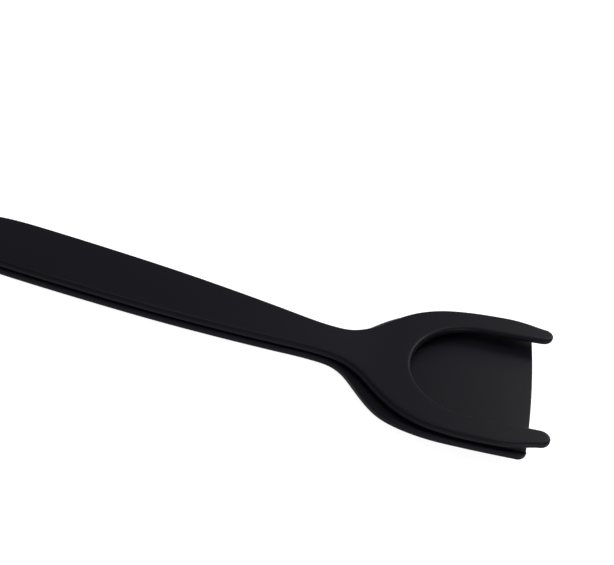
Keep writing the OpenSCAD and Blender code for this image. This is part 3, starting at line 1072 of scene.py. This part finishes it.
def steel(name, colour, worn, rough, turns):
    """Metal with fine marks that run round it, as a lathe or a drawing die leaves them."""
    material, tree, shader = blank(name)
    shader.inputs["Metallic"].default_value = 1.0
    place = node(tree, "ShaderNodeTexCoord")
    rings = node(tree, "ShaderNodeTexWave", Scale=turns, Distortion=2.5, Detail=3.0)
    rings.wave_type, rings.rings_direction = "RINGS", "Y"
    shift = node(tree, "ShaderNodeVectorMath", operation="SUBTRACT")
    shift.inputs[1].default_value = HINGE
    tree.links.new(place.outputs["Object"], shift.inputs[0])
    tree.links.new(shift.outputs[0], rings.inputs["Vector"])
    marks = placed(tree, SCUFFS, Stretch=3.0)
    wear = placed(tree, WEAR)
    tree.links.new(blended(tree, marks.outputs["Scratches"], colour, worn), shader.inputs["Base Color"])
    rough = blended(tree, rings.outputs["Fac"], rough, rough + RING_ROUGH)
    tree.links.new(blended(tree, wear.outputs["Mask"], rough, RUBBED), shader.inputs["Roughness"])
    bump = node(tree, "ShaderNodeBump", Strength=0.2, Distance=0.01 * MM)
    tree.links.new(rings.outputs["Fac"], bump.inputs["Height"])
    tree.links.new(bump.outputs["Normal"], shader.inputs["Normal"])
    return material


STAINLESS, STAINLESS_WORN = (0.36, 0.36, 0.37, 1), (0.22, 0.22, 0.23, 1)
WIRE, WIRE_WORN = (0.28, 0.28, 0.29, 1), (0.17, 0.16, 0.16, 1)
PIN_FINISH = steel("turned stainless steel", STAINLESS, STAINLESS_WORN, 0.3, 1500.0)
WIRE_FINISH = steel("drawn spring steel", WIRE, WIRE_WORN, 0.3, 900.0)
print("finishes", [m.name for m in (NYLON_FINISH, PIN_FINISH, WIRE_FINISH)])

# %% [markdown]
# ## What each piece is
# Every piece tells which body of the frame it rides on, which plain node it stands in for, and which
# slot of the parts list its finish belongs to. A table says it all at once, so nothing is forgotten.

# %% Every piece gets its finish and, apart from the spring, its body, and the plain node it stands for is hidden
PIECES = (
    (upper, "upper", "upper_arm", "nylon", NYLON_FINISH),
    (lower, "lower", "lower_arm", "nylon", NYLON_FINISH),
    (pin, "lower", "hinge_pin", "pin_steel", PIN_FINISH),
    (cap, "lower", "pin_cap", "pin_steel", PIN_FINISH),
    (spring, "lower", "torsion_spring", "spring_steel", WIRE_FINISH),
)
for thing, body, stands_for, slot, finish in PIECES:
    thing.data.materials.clear()
    thing.data.materials.append(finish)
    if thing is not spring:
        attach(thing, body)
    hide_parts(stands_for)
print("pieces", [thing.name for thing, *_ in PIECES])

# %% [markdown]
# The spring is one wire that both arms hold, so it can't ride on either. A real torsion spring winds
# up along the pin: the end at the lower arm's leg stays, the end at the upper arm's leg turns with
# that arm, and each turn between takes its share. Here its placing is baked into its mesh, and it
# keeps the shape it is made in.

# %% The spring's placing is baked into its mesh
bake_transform(spring)

# %% [markdown]
# ## Floor and light
# The tool lies on a light table: white paper lit from below as well as from above, so that it casts
# next to no shadow. A wide box overhead gives the even light. A small one close beyond the prongs
# lets the head grow lighter toward the tips, one low at the right reaches the walls, and a weak one
# behind draws the thin line on the far lip.

# %% The light table
PAPER_DARK, PAPER_LIGHT = (0.32, 0.32, 0.32, 1), (0.35, 0.35, 0.35, 1)
PAPER_GLOW, PAPER_HALF = 0.9, 6.0


def floor():
    """A large sheet of lit paper under the tool."""
    mesh = bpy.data.meshes.new("floor")
    w = PAPER_HALF
    mesh.from_pydata([(-w, -w, 0), (w, -w, 0), (w, w, 0), (-w, w, 0)], [], [(0, 1, 2, 3)])
    sheet = bpy.data.objects.new("floor", mesh)
    bpy.context.scene.collection.objects.link(sheet)
    material, tree, shader = blank("white paper")
    tooth = node(tree, "ShaderNodeTexNoise", Scale=900.0, Detail=3.0)
    paper = blended(tree, tooth.outputs["Fac"], PAPER_DARK, PAPER_LIGHT)
    tree.links.new(paper, shader.inputs["Base Color"])
    shader.inputs["Emission Color"].default_value = (1, 1, 1, 1)
    shader.inputs["Emission Strength"].default_value = PAPER_GLOW
    shader.inputs["Roughness"].default_value = 0.95
    shader.inputs["Specular IOR Level"].default_value = 0.0
    mesh.materials.append(material)
    return sheet


print("floor", floor().name, "is", 2 * PAPER_HALF, "m wide")

# %% Soft boxes and the room's own light
MIDDLE = (0.03, 0, 0.01)
HEAD_AT = (BEND_X + 40 * MM, 0, 20 * MM)
TIPS_AT = (TIP, 0, 30 * MM)
BOXES = (
    ("tip_box", (0.27, 0.24, 0.24), TIPS_AT, 0.12, 0.7),
    ("side_box", (0.45, -0.45, 0.12), HEAD_AT, 0.3, 2.0),
    ("back_box", (0.3, 0.7, 0.5), HEAD_AT, 0.5, 0.8),
    ("top_box", (0.0, 0.1, 1.6), MIDDLE, 1.4, 15),
)
ROOM_LIGHT = 0.35


def softbox(name, at, look, size, watts):
    """A round soft box that looks at a point; size is its width in metres."""
    data = bpy.data.lights.new(name, "AREA")
    data.shape, data.size, data.energy = "DISK", size, watts
    lamp = bpy.data.objects.new(name, data)
    lamp.location = at
    lamp.rotation_euler = (Vector(look) - Vector(at)).to_track_quat("-Z", "Y").to_euler()
    bpy.context.scene.collection.objects.link(lamp)
    return lamp


for box in BOXES:
    softbox(*box)
world = bpy.data.worlds.new("studio")
world.use_nodes = True
world.node_tree.nodes["Background"].inputs["Color"].default_value = (1, 1, 1, 1)
world.node_tree.nodes["Background"].inputs["Strength"].default_value = ROOM_LIGHT
bpy.context.scene.world = world
print("lights", [name for name, *_ in BOXES])
